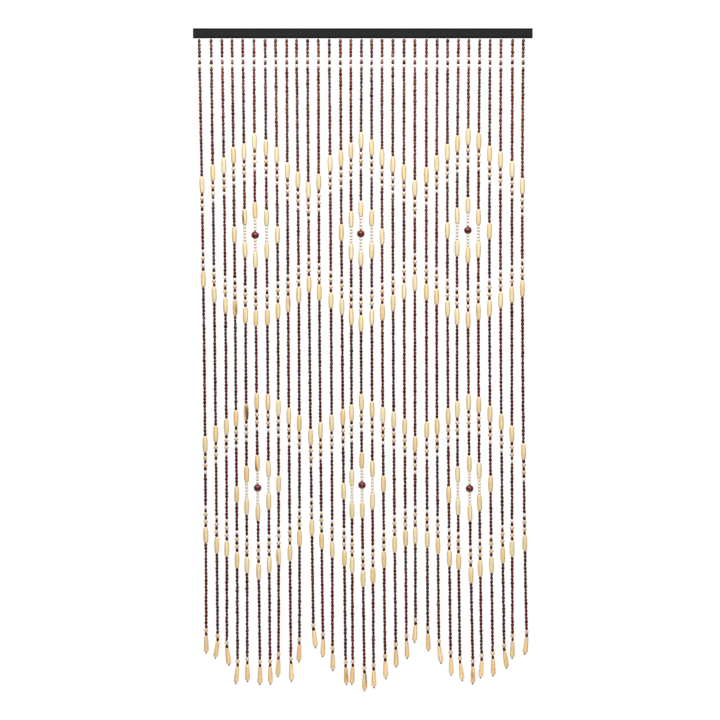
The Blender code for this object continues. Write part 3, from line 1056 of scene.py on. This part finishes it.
def burgundy_lacquer():
    """Deep red gloss over turned wood, cloudy and slightly uneven."""
    finish = Finish("burgundy_lacquer")
    place = finish.trait("grain", output=1)
    rings = finish.noise(finish.stretched(place, (0.25, 0.25, 0.9)), 1.0, 3.0)
    clouds = finish.noise(place, 0.12, 3.0)
    dents = finish.noise(place, 0.35, 2.0)
    return finish.shade(
        Base_Color=finish.ramp(rings * 0.5 + clouds * 0.6, BURGUNDY),
        Roughness=clouds * 0.15 + 0.26,
        Specular_IOR_Level=0.10,
        Coat_Weight=1.00,
        Coat_Roughness=0.11,
        Normal=finish.bump(dents, LACQUER_RELIEF),
    )


round_pieces["cream"].data.materials.append(bleached_wood())
round_pieces["ball"].data.materials.append(burgundy_lacquer())
print("bleached and burgundy finishes")

# %% [markdown]
# ## Twisted thread
#
# The thread is two plies twisted together. A tube's own traits, the length run and the angle
# round it, give the twist: their sum goes up by one turn for each turn of the ply, so a sine
# of it draws the slanting grooves, as relief and as painted shade. The knots and tails are
# browner, with wear and dust.

# %% Threads, knots and tails
PLY_TURNS = 5.5
THREAD_RELIEF = 0.00015
PALE_THREAD = ((0.80, 0.74, 0.66), (0.42, 0.36, 0.30))
KNOT_COLOURS = ((0.40, 0.32, 0.23), (0.17, 0.12, 0.075))


def twisted_thread(name, light, dark):
    """Two plies: the sine of twice the angle plus the run, as painted groove shade and as relief.
    """
    finish = Finish(name)
    turn = finish.trait("twist") * 2 + finish.trait("run") * PLY_TURNS
    ply = finish.node("ShaderNodeMath", {"operation": "SINE"}, {0: turn}) * 0.5 + 0.5
    position = finish.node("ShaderNodeTexCoord", {}, {}, output=3)
    fuzz = finish.noise(position, 2600.0, 3.0)
    return finish.shade(
        # Painted shade: the grooves between the plies are coloured darker.
        Base_Color=finish.mix(ply * 0.7 + fuzz * 0.3, dark, light),
        Roughness=fuzz * 0.2 + 0.70,
        Normal=finish.bump(ply + fuzz * 0.4, THREAD_RELIEF),
    )


thread_piece.data.materials.append(twisted_thread("pale_thread", *PALE_THREAD))
knot_finish = twisted_thread("knot_thread", *KNOT_COLOURS)
knot_piece.data.materials.append(knot_finish)
tail_piece.data.materials.append(knot_finish)
print("thread finishes")

# %% [markdown]
# ## Charcoal rail
#
# The rail is a planed slat, stained charcoal and left matt. The CAD shape is right and is
# kept: only its finish is new. The grain runs along the slat, so the pattern is squeezed
# across it and stretched along it, on the rail's own coordinates. Its edges are rubbed a
# little darker by the stain that gathers there.

# %% Rail and strips
CHARCOAL = ((0.006, 0.006, 0.006), (0.017, 0.017, 0.017))
CHARCOAL_EDGE = (0.001, 0.001, 0.001)
UPPER_EDGE = (0.0072, 0.0092)
LOWER_EDGE = (0.0085, 0.0105)
STAIN_RELIEF = 0.00012


def charcoal_stain():
    """Near-black stain with fine grain along the slat, denser by the upper and lower edge."""
    finish = Finish("charcoal_stain")
    place = finish.node("ShaderNodeTexCoord", {}, {}, output=3)
    grain = finish.noise(finish.stretched(place, (14, 900, 620)), 1.0, 5.0)
    clouds = finish.noise(finish.stretched(place, (9, 60, 60)), 1.0, 3.0)
    height = finish.node("ShaderNodeSeparateXYZ", {}, {"Vector": place}, output=2)
    above_middle = height + RAIL_HEIGHT / 2
    edges = finish.soft_step(above_middle, *UPPER_EDGE)
    edges = edges + finish.soft_step(above_middle * -1, *LOWER_EDGE)
    colour = finish.mix(grain * 0.55 + clouds * 0.45, *CHARCOAL)
    return finish.shade(
        Base_Color=finish.mix(edges * 0.95, colour, CHARCOAL_EDGE),
        Roughness=clouds * 0.16 + 0.55,
        Specular_IOR_Level=0.08,
        Normal=finish.bump(grain, STAIN_RELIEF),
    )


rail_finish = charcoal_stain()
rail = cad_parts["head_rail"]
for rail_slot in rail.material_slots:
    rail_slot.material = rail_finish
strip_piece.data.materials.append(rail_finish)
print("rail slots:", len(rail.material_slots))

# %% [markdown]
# ## Camera, floor and light
#
# The real curtain was taken straight from the front, with all of it in the frame on a plain
# white ground. A long lens keeps the outer strings from splaying. The floor is a pale round
# stand below the curtain, and the light is soft and comes from above and in front, as from
# large diffusers, with a weaker one behind. The world is white to the camera and dimmer to
# the beads, or they would mirror white from all sides and lose their depth.

# %% Camera
LENS = 85.0
SENSOR = 36.0
VIEW_WIDTH = 1.909
VIEW_MIDDLE = (-0.0074, -0.8788)

camera_data = bpy.data.cameras.new("camera")
camera_data.lens = LENS
camera_data.sensor_width = SENSOR
camera = bpy.data.objects.new("camera", camera_data)
camera.location = (VIEW_MIDDLE[0], -VIEW_WIDTH * LENS / SENSOR, VIEW_MIDDLE[1])
camera.rotation_euler = (math.radians(90), 0, 0)
bpy.context.scene.collection.objects.link(camera)
bpy.context.scene.camera = camera
bpy.context.scene.view_settings.view_transform = "Standard"
print("camera stands", round(-camera.location.y, 2), "m in front")

# %% Floor
FLOOR_TOP = -2.02
FLOOR_RADIUS = 0.84
FLOOR_EDGE = 0.006
FLOOR_SIDES = 160

round_edge = np.linspace(-np.pi / 2, np.pi / 2, 7)
floor_reach = np.concatenate([[0], FLOOR_RADIUS + FLOOR_EDGE * np.cos(round_edge), [0]])
floor_rise = np.concatenate([[-1], np.sin(round_edge), [1]]) * FLOOR_EDGE
floor_rise += FLOOR_TOP - FLOOR_EDGE
floor_angle = np.linspace(0, 2 * np.pi, FLOOR_SIDES, endpoint=False)
floor_grid = np.stack([
    floor_reach[:, None] * np.cos(floor_angle),
    floor_reach[:, None] * np.sin(floor_angle),
    floor_rise[:, None] + np.zeros(FLOOR_SIDES),
], axis=-1)[None]
floor = skin("floor", floor_grid)
floor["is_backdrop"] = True
floor_finish = Finish("pale_floor")
floor_place = floor_finish.node("ShaderNodeTexCoord", {}, {}, output=3)
floor_clouds = floor_finish.noise(floor_place, 3.0)
floor.data.materials.append(floor_finish.shade(
    Base_Color=floor_finish.mix(floor_clouds, (0.80, 0.80, 0.79), (0.86, 0.86, 0.85)),
    Roughness=0.8,
))

# %% Light
SoftLight = namedtuple("SoftLight", "name place aim width height watts")
SOFT_LIGHTS = (
    SoftLight("key", (-0.7, -2.9, 1.5), (0.0, 0.0, -0.75), 2.6, 1.3, 132.0),
    SoftLight("fill", (1.4, -3.0, -0.4), (0.0, 0.0, -1.30), 1.6, 2.0, 46.0),
    SoftLight("back", (0.3, 2.9, 1.4), (0.0, 0.0, -0.80), 2.6, 1.4, 60.0),
)
for light in SOFT_LIGHTS:
    lamp_data = bpy.data.lights.new(light.name, "AREA")
    lamp_data.shape = "RECTANGLE"
    lamp_data.size = light.width
    lamp_data.size_y = light.height
    lamp_data.energy = light.watts
    lamp = bpy.data.objects.new(light.name, lamp_data)
    lamp.location = light.place
    towards = np.array(light.aim) - np.array(light.place)
    across = math.atan2(towards[0], towards[1])
    down = math.atan2(math.hypot(towards[0], towards[1]), -towards[2])
    lamp.rotation_euler = (down, 0, -across)
    bpy.context.scene.collection.objects.link(lamp)

print(len(SOFT_LIGHTS), "soft lights")

# %% The white studio round it
SEEN_WHITE = 1.02
AROUND_LIGHT = 0.06
BEHIND_LIGHT = 0.12
OVERHEAD_LIGHT = 0.85

studio = Finish("studio", world=True)
way = studio.node("ShaderNodeTexCoord", {}, {}, output=0)
behind = studio.node("ShaderNodeSeparateXYZ", {}, {"Vector": way}, output=1)
overhead = studio.node("ShaderNodeSeparateXYZ", {}, {"Vector": way}, output=2)
glow = studio.soft_step(behind, -0.3, 0.7) * BEHIND_LIGHT + AROUND_LIGHT
glow = glow + studio.soft_step(overhead, -0.2, 0.9) * OVERHEAD_LIGHT
dim = studio.node("ShaderNodeBackground", {}, {"Strength": glow})
white = studio.node("ShaderNodeBackground", {}, {"Color": (1, 1, 1, 1), "Strength": SEEN_WHITE})
seen = studio.node("ShaderNodeLightPath", {}, {})
both = studio.node("ShaderNodeMixShader", {}, {0: seen, 1: dim, 2: white})
studio.give(studio.tree.nodes["World Output"].inputs["Surface"], both)
bpy.context.scene.world = studio.material
print("studio nodes:", len(studio.tree.nodes))

# %% [markdown]
# ## Print the sizes, and finish
#
# Dressing a model mustn't change its size. The box of the CAD model was kept at the start,
# and it is written out here with the box of the dressed curtain, so the two can be compared.

# %% Print both boxes
seen_low, seen_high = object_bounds()
boxes = {
    "cad_box": [list(cad_low), list(cad_high)],
    "visual_box": [list(seen_low), list(seen_high)],
}
for name, (low, high) in boxes.items():
    print(name, "in mm:", [round((b - a) / MM, 1) for a, b in zip(low, high)])
